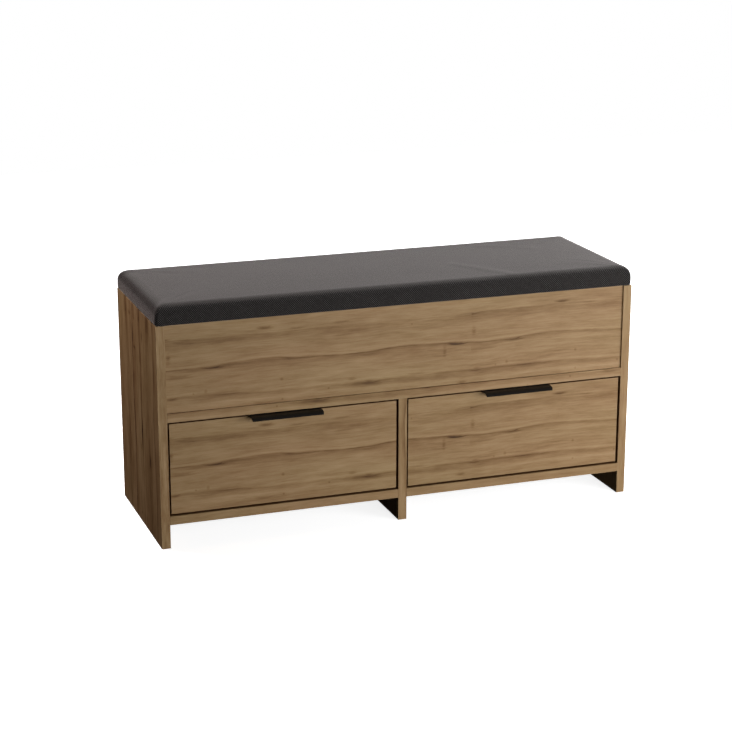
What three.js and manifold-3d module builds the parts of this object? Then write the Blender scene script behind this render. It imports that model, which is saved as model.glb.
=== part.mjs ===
// Entryway storage bench: an oak-decor chipboard carcass with two drawers on telescopic runners and a
// padded lid that opens on two butt hinges and two gas struts.
// Millimetres, +X to the bench's right, +Y to its back, +Z up.
// The origin is on the floor, at the middle of the bench's bounding box.

import * as THREE from 'three';
import { mergeVertices } from 'three/addons/utils/BufferGeometryUtils.js';
import Module from 'manifold-3d';

const wasm = await Module();
wasm.setup();

// ---- Driving dimensions ----

const GAP = 0.3; // clearance between pieces that touch on the real bench
const SIDES = 16; // facets round a small cylinder
const ARC_STEPS = 6; // facets along a quarter turn of an outline
const CUT_OVERRUN = 1; // how far a cutting tool runs past the face it cuts
const JOIN_OVERLAP = 1; // how far two solids that are joined run into each other
const MERGE_DISTANCE = 1e-4; // vertices closer than this are one
const ENDS = [['left', -1], ['right', 1]];

const WIDTH = 1020; // outside of one side panel to the outside of the other
const BOARD = 18; // chipboard thickness
const PANEL_DEPTH = 337; // side panels, front to back
const BACK_SHEET = 3; // hardboard back panel

const BOTTOM_UNDERSIDE = 49; // toe space under the bottom boards
const FLOOR_UNDERSIDE = 262; // storage floor, over the drawers
const SIDE_TOP = 458; // top of the side panels
const LID_UNDERSIDE = 458.5;
const SEAT_TOP = 500;

const DRAWER_REVEAL = 4; // gap all round a drawer front
const DRAWER_INSET = 3; // drawer fronts behind the side panels' edges
const FRONT_INSET = 4; // upper front panel behind the side panels' edges

const RAIL_BOTTOM = 375.5;
const RAIL_TOP = 455.5;
const BACK_SHEET_BOTTOM = 50;
const BACK_SHEET_TOP = 395;
const BACK_SHEET_SIDE_INSET = 2;

const LID_BOARD = { halfWidth: 505, front: 6, back: 333, thick: 16 };
const SEAT = {
  halfWidth: 511,
  front: -0.5,
  back: 338.5,
  coverThick: 1.5,
  frontRadius: 19,
  endRadius: 22,
  cornerRadius: 6,
};

const HINGE = {
  centreX: 330,
  axisY: 340.5,
  axisZ: 455,
  width: 60,
  leafThick: 1.5,
  leafLength: 34,
  lidLeafLength: 22,
  knuckleRadius: 3.5,
  boreRadius: 1.5,
  pinRadius: 1.2,
  knuckles: 5,
  knuckleGap: 0.6,
  plateClear: 1, // between the knuckles and the leaves' plates
};

const STRUT = {
  centreX: 478,
  pivotForward: 73.2, // side bracket's pin, forward of the hinge axis
  pivotDrop: 119.8, // and below it
  studForward: 42.4, // lid bracket's stud with the lid closed
  studDrop: 14,
  openAngle: 85, // degrees
  tubeRadius: 7.5,
  tubeStart: 9, // from the pivot pin along the strut
  tubeEnd: 92,
  boreRadius: 3.5,
  boreStart: 18,
  rodRadius: 3,
  rodStart: 20,
  eyeWidth: 10,
  eyeRadius: 6,
  eyeBore: 3.9,
  pinRadius: 3.5,
  pinProud: 1, // of the pin, past the lower eye
  neckRadius: 4.5,
};

const SIDE_BRACKET = { width: 30, height: 42, thick: 2.2 };
const LID_BRACKET = { front: 55, back: 30, plateWidth: 20, thick: 1.5, flangeDrop: 21, studRadius: 4, studLength: 2 };
const OPEN_PIVOT_GAP = 0.8; // between the lid bracket's stud and the rod's ball socket

const BOX = {
  sideThick: 12,
  sideGap: 13, // room for one runner
  bottom: 84,
  top: 224,
  length: 300,
  baseThick: 3,
  grooveLift: 8, // groove above the side's lower edge
  grooveDepth: 5,
};

const RUNNER = {
  centreZ: 150,
  length: 298,
  setBack: 1, // behind the front of the drawer box
  sheet: 1.5,
  cabinet: { start: 0.3, end: 8, halfHeight: 22.5 },
  middle: { start: 4, end: 10.5, halfHeight: 20.4 },
  drawer: { start: 7, end: 12.5, halfHeight: 18.3 },
};

const PULL = {
  length: 150,
  sheet: 1.6,
  reach: 26, // in front of the drawer front
  drop: 6, // of the lip's edge below the top plate
  legBottom: 241,
  cornerRadius: 5,
  noseRadius: 16,
  noseSteps: 6,
  screwOffset: 45,
  screwZ: 250,
};

const SCREW = { headRadius: 3.6, headThick: 2, shankRadius: 1.6, shankLength: 12, holeRadius: 2 };
const CAM = { radius: 7.5, pocketRadius: 7.9, depth: 12, inset: 34, slotWidth: 2, slotLength: 10, slotDepth: 1.5 };

// ---- Values that follow ----

const INNER_X = WIDTH / 2 - BOARD; // inside face of a side panel
const DIVIDER_HALF = BOARD / 2;
const BAY_WIDTH = INNER_X - DIVIDER_HALF;
const BAY_CENTRE = (INNER_X + DIVIDER_HALF) / 2;
const FLOOR_TOP = FLOOR_UNDERSIDE + BOARD;
const BOTTOM_TOP = BOTTOM_UNDERSIDE + BOARD;
const FRONT_BACK_Y = DRAWER_INSET + BOARD; // back face of a drawer front
const FRONT_TOP = FLOOR_UNDERSIDE - DRAWER_REVEAL;
const BOX_START = FRONT_BACK_Y + GAP;
const BOX_END = BOX_START + BOX.length;
const LEG_FRONT = FRONT_BACK_Y + GAP; // of a pull's leg, behind the drawer front
const LEG_BACK = LEG_FRONT + PULL.sheet;
const PLATE_BOTTOM = FRONT_TOP + GAP; // of a pull's plate, over the drawer front
const PLATE_TOP = PLATE_BOTTOM + PULL.sheet;
const RAIL_FRONT = PANEL_DEPTH - BOARD;

// The lips reach furthest forward and the hinge knuckles furthest back.
const FRONTMOST = DRAWER_INSET - PULL.reach;
const BACKMOST = HINGE.axisY + HINGE.knuckleRadius;
const ORIGIN_SHIFT = -(FRONTMOST + BACKMOST) / 2;

// ---- Materials ----

function finish(hex, roughness, metalness = 0) {
  return { color: hex, roughness, metalness };
}

const OAK = finish(0x9a7b55, 0.55);
const HARDBOARD = finish(0xb79c76, 0.75);
const DRAWER_WHITE = finish(0xe2ded6, 0.5);
const FABRIC = finish(0x3b3836, 0.95);
const FOAM = finish(0xd9cfa8, 0.95);
const LID_CHIPBOARD = finish(0xb0946a, 0.8);
const BLACK_METAL = finish(0x202023, 0.45, 0.6);
const ZINC = finish(0xb8bcc0, 0.35, 1);
const STRUT_BLACK = finish(0x17181a, 0.4, 0.3);
const CHROME = finish(0xd5d8dc, 0.15, 1);

// ---- Solids ----

const bench = new THREE.Group();
bench.position.y = ORIGIN_SHIFT;

function toSolid(geometry) {
  const bare = geometry.clone();
  bare.deleteAttribute('normal');
  bare.deleteAttribute('uv');
  const merged = mergeVertices(bare, MERGE_DISTANCE);
  return new wasm.Manifold(new wasm.Mesh({
    numProp: 3,
    vertProperties: new Float32Array(merged.attributes.position.array),
    triVerts: new Uint32Array(merged.index.array),
  }));
}

function toGeometry(solid) {
  const mesh = solid.getMesh();
  const geometry = new THREE.BufferGeometry();
  geometry.setAttribute('position', new THREE.BufferAttribute(mesh.vertProperties, 3));
  geometry.setIndex(new THREE.BufferAttribute(mesh.triVerts, 1));
  return geometry;
}

function box(low, high) {
  const size = high.map((value, i) => value - low[i]);
  const geometry = new THREE.BoxGeometry(...size);
  geometry.translate(...low.map((value, i) => value + size[i] / 2));
  return geometry;
}

// A cylinder from start, along the unit vector along.
function rod(start, along, length, radius) {
  const geometry = new THREE.CylinderGeometry(radius, radius, length, SIDES);
  geometry.translate(0, length / 2, 0);
  const direction = new THREE.Vector3(...along);
  geometry.applyQuaternion(new THREE.Quaternion().setFromUnitVectors(new THREE.Vector3(0, 1, 0), direction));
  geometry.translate(...start);
  return geometry;
}

// An outline in Y and Z, extruded along X from startX.
function sideProfile(shape, startX, length) {
  const geometry = new THREE.ExtrudeGeometry(shape, { depth: length, bevelEnabled: false, curveSegments: ARC_STEPS });
  geometry.applyMatrix4(new THREE.Matrix4().makeBasis(
    new THREE.Vector3(0, 1, 0),
    new THREE.Vector3(0, 0, 1),
    new THREE.Vector3(1, 0, 0),
  ));
  geometry.translate(startX, 0, 0);
  return geometry;
}

function add(name, geometry, material) {
  const mesh = new THREE.Mesh(geometry, new THREE.MeshStandardMaterial(material));
  mesh.name = name;
  bench.add(mesh);
}

function join(...geometries) {
  return geometries.map(toSolid).reduce((whole, next) => whole.add(next));
}

function cut(solid, ...geometries) {
  return geometries.map(toSolid).reduce((rest, tool) => rest.subtract(tool), solid);
}

// ---- Carcass ----

function camPocket(x, z, faceY, into) {
  const start = [x, faceY - into * CUT_OVERRUN, z];
  return rod(start, [0, into, 0], CAM.depth + 2 * CUT_OVERRUN, CAM.pocketRadius);
}

// A cam lock sunk in a board whose face is at faceY; into is +1 when the board lies behind the face.
function addCam(name, x, z, faceY, into) {
  const face = faceY + into * GAP;
  const disc = toSolid(rod([x, face, z], [0, into, 0], CAM.depth, CAM.radius));
  const slotLow = Math.min(face - into * CUT_OVERRUN, face + into * CAM.slotDepth);
  const slotHigh = Math.max(face - into * CUT_OVERRUN, face + into * CAM.slotDepth);
  const long = CAM.slotLength / 2;
  const short = CAM.slotWidth / 2;
  const cross = [
    box([x - long, slotLow, z - short], [x + long, slotHigh, z + short]),
    box([x - short, slotLow, z - long], [x + short, slotHigh, z + long]),
  ];
  add(name, toGeometry(cut(disc, ...cross)), ZINC);
}

function addCarcass() {
  const inside = INNER_X - GAP;
  for (const [side, sign] of ENDS) {
    const xs = [sign * INNER_X, sign * WIDTH / 2].sort((a, b) => a - b);
    add(`${side}_side_panel`, box([xs[0], 0, 0], [xs[1], PANEL_DEPTH, SIDE_TOP]), OAK);
    const bay = [sign * (DIVIDER_HALF + GAP), sign * inside].sort((a, b) => a - b);
    const low = [bay[0], 0, BOTTOM_UNDERSIDE];
    add(`${side}_bottom_panel`, box(low, [bay[1], PANEL_DEPTH, BOTTOM_TOP]), OAK);
  }
  const dividerTop = FLOOR_UNDERSIDE - GAP;
  add('centre_divider', box([-DIVIDER_HALF, 0, 0], [DIVIDER_HALF, PANEL_DEPTH, dividerTop]), OAK);
  add('storage_floor', box([-inside, 0, FLOOR_UNDERSIDE], [inside, PANEL_DEPTH, FLOOR_TOP]), OAK);

  const camX = INNER_X - CAM.inset;
  const frontBack = FRONT_INSET + BOARD;
  const frontZ = (FLOOR_TOP + SIDE_TOP) / 2;
  const railZ = (RAIL_BOTTOM + RAIL_TOP) / 2;
  const front = box([-inside, FRONT_INSET, FLOOR_TOP + GAP], [inside, frontBack, SIDE_TOP - GAP]);
  const frontPockets = [-camX, camX].map((x) => camPocket(x, frontZ, frontBack, -1));
  add('upper_front_panel', toGeometry(cut(toSolid(front), ...frontPockets)), OAK);
  const rail = box([-inside, RAIL_FRONT, RAIL_BOTTOM], [inside, PANEL_DEPTH, RAIL_TOP]);
  const railPockets = [-camX, camX].map((x) => camPocket(x, railZ, RAIL_FRONT, 1));
  add('back_rail', toGeometry(cut(toSolid(rail), ...railPockets)), OAK);
  for (const [side, sign] of ENDS) {
    addCam(`${side}_front_cam_lock`, sign * camX, frontZ, frontBack, -1);
    addCam(`${side}_rail_cam_lock`, sign * camX, railZ, RAIL_FRONT, 1);
  }

  const sheetX = WIDTH / 2 - BACK_SHEET_SIDE_INSET;
  const sheetY = PANEL_DEPTH + GAP;
  const sheetLow = [-sheetX, sheetY, BACK_SHEET_BOTTOM];
  add('back_panel', box(sheetLow, [sheetX, sheetY + BACK_SHEET, BACK_SHEET_TOP]), HARDBOARD);
}

// ---- Lid and seat ----

// A slab with rounded upper edges and rounded corners in plan, shrunk on every face by inset except
// at its underside.
function seatSlab(inset) {
  const halfX = SEAT.halfWidth - inset;
  const frontY = SEAT.front + inset;
  const backY = SEAT.back - inset;
  const top = SEAT_TOP - inset;
  const bottom = LID_UNDERSIDE;
  const rf = SEAT.frontRadius - inset;
  const re = SEAT.endRadius - inset;
  const rc = SEAT.cornerRadius - inset;

  const across = new THREE.Shape();
  across.moveTo(frontY, bottom);
  across.lineTo(backY, bottom);
  across.lineTo(backY, top - re);
  across.absarc(backY - re, top - re, re, 0, Math.PI / 2, false);
  across.lineTo(frontY + rf, top);
  across.absarc(frontY + rf, top - rf, rf, Math.PI / 2, Math.PI, false);
  const acrossSolid = toSolid(sideProfile(across, -halfX, 2 * halfX));

  const along = new THREE.Shape();
  along.moveTo(-halfX, bottom - CUT_OVERRUN);
  along.lineTo(halfX, bottom - CUT_OVERRUN);
  along.lineTo(halfX, top - re);
  along.absarc(halfX - re, top - re, re, 0, Math.PI / 2, false);
  along.lineTo(-halfX + re, top);
  along.absarc(-halfX + re, top - re, re, Math.PI / 2, Math.PI, false);
  const depth = backY - frontY + 2 * CUT_OVERRUN;
  const alongGeometry = new THREE.ExtrudeGeometry(along, { depth, bevelEnabled: false, curveSegments: ARC_STEPS });
  alongGeometry.rotateX(Math.PI / 2);
  alongGeometry.translate(0, backY + CUT_OVERRUN, 0);

  const plan = new THREE.Shape();
  plan.moveTo(-halfX + rc, frontY);
  plan.absarc(halfX - rc, frontY + rc, rc, -Math.PI / 2, 0, false);
  plan.absarc(halfX - rc, backY - rc, rc, 0, Math.PI / 2, false);
  plan.absarc(-halfX + rc, backY - rc, rc, Math.PI / 2, Math.PI, false);
  plan.absarc(-halfX + rc, frontY + rc, rc, Math.PI, 1.5 * Math.PI, false);
  const height = top - bottom + 2 * CUT_OVERRUN;
  const planGeometry = new THREE.ExtrudeGeometry(plan, { depth: height, bevelEnabled: false, curveSegments: ARC_STEPS });
  planGeometry.translate(0, 0, bottom - CUT_OVERRUN);

  return acrossSolid.intersect(toSolid(alongGeometry)).intersect(toSolid(planGeometry));
}

function addLid() {
  const boardTop = LID_UNDERSIDE + LID_BOARD.thick;
  const boardLow = [-LID_BOARD.halfWidth, LID_BOARD.front, LID_UNDERSIDE];
  add('lid_board', box(boardLow, [LID_BOARD.halfWidth, LID_BOARD.back, boardTop]), LID_CHIPBOARD);

  const below = LID_UNDERSIDE - CUT_OVERRUN;
  const pocketLow = [-LID_BOARD.halfWidth - GAP, LID_BOARD.front - GAP, below];
  const pocket = box(pocketLow, [LID_BOARD.halfWidth + GAP, LID_BOARD.back + GAP, boardTop + GAP]);
  const foam = seatSlab(SEAT.coverThick + GAP);
  add('seat_foam', toGeometry(cut(foam, pocket)), FOAM);
  // The cover is open below, so what is cut out of it runs down past its lower edge.
  const inside = seatSlab(SEAT.coverThick);
  const insideBelow = inside.translate([0, 0, -CUT_OVERRUN]);
  add('seat_cover', toGeometry(seatSlab(0).subtract(inside).subtract(insideBelow)), FABRIC);
}

// ---- Lid hinges ----

// The body leaf has the odd knuckles, the lid leaf the even ones.
function hingeLeaf(centreX, plate, arm, first) {
  const pitch = HINGE.width / HINGE.knuckles;
  let leaf = toSolid(plate);
  for (let i = first; i < HINGE.knuckles; i += 2) {
    const low = centreX - HINGE.width / 2 + i * pitch + HINGE.knuckleGap / 2;
    const length = pitch - HINGE.knuckleGap;
    const start = [low, HINGE.axisY, HINGE.axisZ];
    leaf = leaf.add(toSolid(rod(start, [1, 0, 0], length, HINGE.knuckleRadius)));
    leaf = leaf.add(toSolid(arm(low, low + length)));
  }
  const boreStart = [centreX - HINGE.width, HINGE.axisY, HINGE.axisZ];
  return cut(leaf, rod(boreStart, [1, 0, 0], 2 * HINGE.width, HINGE.boreRadius));
}

function addHinge(side, centreX) {
  const reach = HINGE.knuckleRadius + HINGE.plateClear;
  const half = HINGE.width / 2;
  const bodyFace = PANEL_DEPTH + GAP;
  const bodyBack = bodyFace + HINGE.leafThick;
  const bodyTop = HINGE.axisZ - reach;
  const bodyPlate = box(
    [centreX - half, bodyFace, HINGE.axisZ - HINGE.leafLength],
    [centreX + half, bodyBack, bodyTop],
  );
  const bodyArm = (low, high) => box([low, bodyFace, bodyTop - JOIN_OVERLAP], [high, bodyBack, HINGE.axisZ]);
  add(`${side}_hinge_body_leaf`, toGeometry(hingeLeaf(centreX, bodyPlate, bodyArm, 0)), ZINC);

  const lidFace = LID_UNDERSIDE - GAP;
  const lidLow = lidFace - HINGE.leafThick;
  const lidBack = HINGE.axisY - reach;
  const lidPlate = box(
    [centreX - half, HINGE.axisY - HINGE.lidLeafLength, lidLow],
    [centreX + half, lidBack, lidFace],
  );
  const lidArm = (low, high) => box([low, lidBack - JOIN_OVERLAP, lidLow], [high, HINGE.axisY, lidFace]);
  add(`${side}_hinge_lid_leaf`, toGeometry(hingeLeaf(centreX, lidPlate, lidArm, 1)), ZINC);

  const pinStart = [centreX - half, HINGE.axisY, HINGE.axisZ];
  add(`${side}_hinge_pin`, rod(pinStart, [1, 0, 0], HINGE.width, HINGE.pinRadius), ZINC);
}

// ---- Gas struts ----

function addStrut(side, sign) {
  const pivot = new THREE.Vector3(0, HINGE.axisY - STRUT.pivotForward, HINGE.axisZ - STRUT.pivotDrop);
  const stud = new THREE.Vector3(0, HINGE.axisY - STRUT.studForward, HINGE.axisZ - STRUT.studDrop);
  const length = stud.distanceTo(pivot);
  const along = stud.clone().sub(pivot).normalize();
  const centreX = sign * STRUT.centreX;
  const at = (distance) => [centreX, pivot.y + along.y * distance, pivot.z + along.z * distance];
  const direction = along.toArray();
  const outward = [sign, 0, 0];
  const eyeStart = centreX - sign * STRUT.eyeWidth / 2;

  // Side bracket: a plate on the side panel with a pin through the strut's lower eye.
  const plateXs = [sign * (INNER_X - GAP), sign * (INNER_X - GAP - SIDE_BRACKET.thick)].sort((a, b) => a - b);
  const plate = box(
    [plateXs[0], pivot.y - SIDE_BRACKET.width / 2, pivot.z - SIDE_BRACKET.height / 2],
    [plateXs[1], pivot.y + SIDE_BRACKET.width / 2, pivot.z + SIDE_BRACKET.height / 2],
  );
  const pinEnd = INNER_X - GAP - SIDE_BRACKET.thick / 2;
  const pinTip = Math.abs(eyeStart) - STRUT.pinProud;
  const pin = rod([sign * pinTip, pivot.y, pivot.z], outward, pinEnd - pinTip, STRUT.pinRadius);
  add(`${side}_strut_side_bracket`, toGeometry(join(plate, pin)), ZINC);

  // Cylinder: a tube open at its upper end, with a neck and an eye at the pivot.
  const tube = rod(at(STRUT.tubeStart), direction, STRUT.tubeEnd - STRUT.tubeStart, STRUT.tubeRadius);
  const neck = rod(at(0), direction, STRUT.tubeStart + JOIN_OVERLAP, STRUT.neckRadius);
  const lowerEye = rod([eyeStart, pivot.y, pivot.z], outward, STRUT.eyeWidth, STRUT.eyeRadius);
  const eyeBoreStart = [eyeStart - sign * CUT_OVERRUN, pivot.y, pivot.z];
  const eyeBore = rod(eyeBoreStart, outward, STRUT.eyeWidth + 2 * CUT_OVERRUN, STRUT.eyeBore);
  const tubeBore = rod(at(STRUT.boreStart), direction, STRUT.tubeEnd, STRUT.boreRadius);
  add(`${side}_strut_cylinder`, toGeometry(cut(join(tube, neck, lowerEye), eyeBore, tubeBore)), STRUT_BLACK);

  // Rod: slides in the tube and ends in a ball socket beside the lid bracket's stud.
  const shaft = rod(at(STRUT.rodStart), direction, length - STRUT.rodStart, STRUT.rodRadius);
  const socket = rod([eyeStart, stud.y, stud.z], outward, STRUT.eyeWidth, STRUT.eyeRadius);
  add(`${side}_strut_rod`, toGeometry(join(shaft, socket)), CHROME);

  // Lid bracket: an angle under the lid board with a stud towards the socket.
  const top = LID_UNDERSIDE - GAP;
  const studTip = Math.abs(eyeStart) - OPEN_PIVOT_GAP;
  const flangeOut = studTip - LID_BRACKET.studLength;
  const flangeIn = flangeOut - LID_BRACKET.thick;
  const frontY = HINGE.axisY - LID_BRACKET.front;
  const backY = HINGE.axisY - LID_BRACKET.back;
  const xs = (a, b) => [sign * a, sign * b].sort((p, q) => p - q);
  const [plateA, plateB] = xs(flangeIn, flangeIn + LID_BRACKET.plateWidth);
  const [flangeA, flangeB] = xs(flangeIn, flangeOut);
  const bracketPlate = box([plateA, frontY, top - LID_BRACKET.thick], [plateB, backY, top]);
  const flange = box([flangeA, frontY, top - LID_BRACKET.flangeDrop], [flangeB, backY, top]);
  const studStart = [sign * (flangeOut - JOIN_OVERLAP), stud.y, stud.z];
  const studLength = LID_BRACKET.studLength + JOIN_OVERLAP;
  const studSolid = rod(studStart, outward, studLength, LID_BRACKET.studRadius);
  add(`${side}_strut_lid_bracket`, toGeometry(join(bracketPlate, flange, studSolid)), ZINC);
}

// ---- Drawers ----

// The bent-sheet edge pull: a leg behind the front, a plate over its top edge and a nose that curls down.
function pullProfile() {
  // The nose turns through the angle that lowers it by PULL.drop.
  const turn = Math.acos(1 - PULL.drop / PULL.noseRadius);
  const noseStart = FRONTMOST + PULL.noseRadius * Math.sin(turn);
  const centreZ = PLATE_TOP - PULL.noseRadius;
  const shape = new THREE.Shape();
  shape.moveTo(LEG_FRONT, PULL.legBottom);
  shape.lineTo(LEG_BACK, PULL.legBottom);
  shape.lineTo(LEG_BACK, PLATE_TOP);
  for (let i = 0; i <= PULL.noseSteps; i += 1) {
    const angle = (turn * i) / PULL.noseSteps;
    shape.lineTo(noseStart - PULL.noseRadius * Math.sin(angle), centreZ + PULL.noseRadius * Math.cos(angle));
  }
  const inner = PULL.noseRadius - PULL.sheet;
  for (let i = PULL.noseSteps; i >= 0; i -= 1) {
    const angle = (turn * i) / PULL.noseSteps;
    shape.lineTo(noseStart - inner * Math.sin(angle), centreZ + inner * Math.cos(angle));
  }
  shape.lineTo(LEG_FRONT, PLATE_BOTTOM);
  return shape;
}

// The pull's outline from above, with its two front corners rounded.
function pullPlan(centreX) {
  const half = PULL.length / 2;
  const r = PULL.cornerRadius;
  const backY = LEG_BACK + CUT_OVERRUN;
  const bottom = PULL.legBottom - CUT_OVERRUN;
  const depth = PLATE_TOP + CUT_OVERRUN - bottom;
  const shape = new THREE.Shape();
  shape.moveTo(centreX - half, backY);
  shape.lineTo(centreX - half, FRONTMOST + r);
  shape.absarc(centreX - half + r, FRONTMOST + r, r, Math.PI, 1.5 * Math.PI, false);
  shape.absarc(centreX + half - r, FRONTMOST + r, r, 1.5 * Math.PI, 2 * Math.PI, false);
  shape.lineTo(centreX + half, backY);
  const geometry = new THREE.ExtrudeGeometry(shape, { depth, bevelEnabled: false, curveSegments: ARC_STEPS });
  geometry.translate(0, 0, bottom);
  return geometry;
}

function addPull(side, centreX) {
  const bar = toSolid(sideProfile(pullProfile(), centreX - PULL.length, 2 * PULL.length));
  const outline = bar.intersect(toSolid(pullPlan(centreX)));
  const holes = screwHoles(centreX);
  add(`${side}_drawer_pull`, toGeometry(cut(outline, ...holes)), BLACK_METAL);

  for (const [end, sign] of ENDS) {
    const x = centreX + sign * PULL.screwOffset;
    const headStart = [x, LEG_BACK + GAP, PULL.screwZ];
    const head = rod(headStart, [0, 1, 0], SCREW.headThick, SCREW.headRadius);
    const shankStart = [x, headStart[1] + SCREW.headThick / 2, PULL.screwZ];
    const shank = rod(shankStart, [0, -1, 0], SCREW.shankLength, SCREW.shankRadius);
    add(`${side}_pull_${end}_screw`, toGeometry(join(head, shank)), ZINC);
  }
}

// One tool for each screw, through the pull's leg and into the drawer front.
function screwHoles(centreX) {
  return [-1, 1].map((sign) => {
    const start = [centreX + sign * PULL.screwOffset, LEG_BACK + CUT_OVERRUN, PULL.screwZ];
    return rod(start, [0, -1, 0], SCREW.shankLength + 2 * CUT_OVERRUN, SCREW.holeRadius);
  });
}

function addDrawer(side, centreX) {
  const frontHalf = BAY_WIDTH / 2 - DRAWER_REVEAL;
  const boxHalf = BAY_WIDTH / 2 - BOX.sideGap;
  const innerHalf = boxHalf - BOX.sideThick;
  const grooveLow = BOX.bottom + BOX.grooveLift;
  const grooveHigh = grooveLow + BOX.baseThick + 2 * GAP;
  const grooveHalf = innerHalf + BOX.grooveDepth + GAP;
  const backStart = BOX_END - BOX.sideThick;
  const groove = box(
    [centreX - grooveHalf, FRONT_BACK_Y - BOX.grooveDepth - GAP, grooveLow],
    [centreX + grooveHalf, BOX_END + CUT_OVERRUN, grooveHigh],
  );

  const front = box(
    [centreX - frontHalf, DRAWER_INSET, BOTTOM_TOP + DRAWER_REVEAL],
    [centreX + frontHalf, FRONT_BACK_Y, FRONT_TOP],
  );
  add(`${side}_drawer_front`, toGeometry(cut(toSolid(front), groove, ...screwHoles(centreX))), OAK);

  for (const [end, sign] of ENDS) {
    const xs = [centreX + sign * innerHalf, centreX + sign * boxHalf].sort((a, b) => a - b);
    const panel = box([xs[0], BOX_START, BOX.bottom], [xs[1], BOX_END, BOX.top]);
    add(`${side}_drawer_${end}_side`, toGeometry(cut(toSolid(panel), groove)), DRAWER_WHITE);
  }
  const backHalf = innerHalf - GAP;
  const backLow = [centreX - backHalf, backStart, grooveHigh];
  add(`${side}_drawer_back`, box(backLow, [centreX + backHalf, BOX_END, BOX.top]), DRAWER_WHITE);
  const baseHalf = innerHalf + BOX.grooveDepth;
  add(`${side}_drawer_base`, box(
    [centreX - baseHalf, FRONT_BACK_Y - BOX.grooveDepth, grooveLow + GAP],
    [centreX + baseHalf, BOX_END, grooveHigh - GAP],
  ), DRAWER_WHITE);
}

// A runner member is a channel. Distances are from the cabinet wall at wallX towards the drawer.
// A channel opens towards the drawer, and the drawer member's opens towards the wall.
function runnerMember(wallX, towards, member, opensToDrawer) {
  const startY = BOX_START + RUNNER.setBack;
  const endY = startY + RUNNER.length;
  const outerLow = [wallX + towards * member.start, wallX + towards * member.end].sort((a, b) => a - b);
  const top = RUNNER.centreZ + member.halfHeight;
  const bottom = RUNNER.centreZ - member.halfHeight;
  const solid = toSolid(box([outerLow[0], startY, bottom], [outerLow[1], endY, top]));
  const near = opensToDrawer ? member.start + RUNNER.sheet : member.start - CUT_OVERRUN;
  const far = opensToDrawer ? member.end + CUT_OVERRUN : member.end - RUNNER.sheet;
  const channel = [wallX + towards * near, wallX + towards * far].sort((a, b) => a - b);
  return toGeometry(cut(solid, box(
    [channel[0], startY - CUT_OVERRUN, bottom + RUNNER.sheet],
    [channel[1], endY + CUT_OVERRUN, top - RUNNER.sheet],
  )));
}

function addRunners(side, centreX) {
  for (const [end, sign] of ENDS) {
    const wallX = centreX + sign * (BAY_WIDTH / 2);
    const name = `${side}_drawer_${end}_runner`;
    add(`${name}_cabinet`, runnerMember(wallX, -sign, RUNNER.cabinet, true), ZINC);
    add(`${name}_middle`, runnerMember(wallX, -sign, RUNNER.middle, true), ZINC);
    add(`${name}_drawer`, runnerMember(wallX, -sign, RUNNER.drawer, false), ZINC);
  }
}

// ---- Assembly ----

addCarcass();
addLid();
for (const [side, sign] of ENDS) {
  addHinge(side, sign * HINGE.centreX);
  addStrut(side, sign);
  addDrawer(side, sign * BAY_CENTRE);
  addPull(side, sign * BAY_CENTRE);
  addRunners(side, sign * BAY_CENTRE);
}

export default bench;
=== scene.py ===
"""Entryway storage bench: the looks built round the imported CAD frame."""

import math

import bmesh
import bpy
import numpy as np
from mathutils import Matrix, Vector, noise


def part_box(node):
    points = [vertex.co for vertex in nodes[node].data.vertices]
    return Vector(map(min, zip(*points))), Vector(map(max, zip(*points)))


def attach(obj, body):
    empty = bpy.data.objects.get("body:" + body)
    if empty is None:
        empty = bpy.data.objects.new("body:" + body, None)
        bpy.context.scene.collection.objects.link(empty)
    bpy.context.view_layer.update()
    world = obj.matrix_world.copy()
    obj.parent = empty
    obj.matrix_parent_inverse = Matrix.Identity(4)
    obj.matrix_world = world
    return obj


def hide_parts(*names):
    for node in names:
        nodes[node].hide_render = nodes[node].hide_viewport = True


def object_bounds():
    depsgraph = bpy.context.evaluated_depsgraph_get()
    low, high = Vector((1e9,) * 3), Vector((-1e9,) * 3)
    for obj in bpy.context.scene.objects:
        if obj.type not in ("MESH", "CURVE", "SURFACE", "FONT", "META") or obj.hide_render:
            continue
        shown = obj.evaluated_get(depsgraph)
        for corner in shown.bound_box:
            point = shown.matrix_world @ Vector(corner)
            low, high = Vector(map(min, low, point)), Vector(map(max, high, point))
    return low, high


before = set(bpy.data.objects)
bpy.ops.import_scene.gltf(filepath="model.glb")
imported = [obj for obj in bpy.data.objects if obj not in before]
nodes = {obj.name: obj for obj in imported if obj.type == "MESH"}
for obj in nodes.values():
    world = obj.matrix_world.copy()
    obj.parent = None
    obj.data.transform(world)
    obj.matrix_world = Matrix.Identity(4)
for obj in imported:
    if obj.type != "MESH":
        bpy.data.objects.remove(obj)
cad_low, cad_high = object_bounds()
scene = bpy.context.scene

SIDES = ("left", "right")
MM = 0.001


# ---- Camera, lights and floor ----

VIEW_AZIMUTH = -19.48  # degrees, from in front and to the left
VIEW_ELEVATION = 16.13
VIEW_DISTANCE = 4.12
VIEW_LENS = 95.9
SENSOR_WIDTH = 36
VIEW_REACH = 50
AIM_OFFSET = Vector((-0.0172, 0.0166, 0.0344))  # from the middle of the bench


def make_camera():
    data = bpy.data.cameras.new("camera")
    data.lens = VIEW_LENS
    data.sensor_width = SENSOR_WIDTH
    data.clip_end = VIEW_REACH
    camera = bpy.data.objects.new("camera", data)
    scene.collection.objects.link(camera)
    azimuth, elevation = math.radians(VIEW_AZIMUTH), math.radians(VIEW_ELEVATION)
    flat = math.cos(elevation)
    back = Vector((math.sin(azimuth) * flat, -math.cos(azimuth) * flat, math.sin(elevation)))
    camera.location = (cad_low + cad_high) / 2 + AIM_OFFSET + back * VIEW_DISTANCE
    camera.rotation_euler = (-back).to_track_quat("-Z", "Y").to_euler()
    scene.camera = camera


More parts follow.
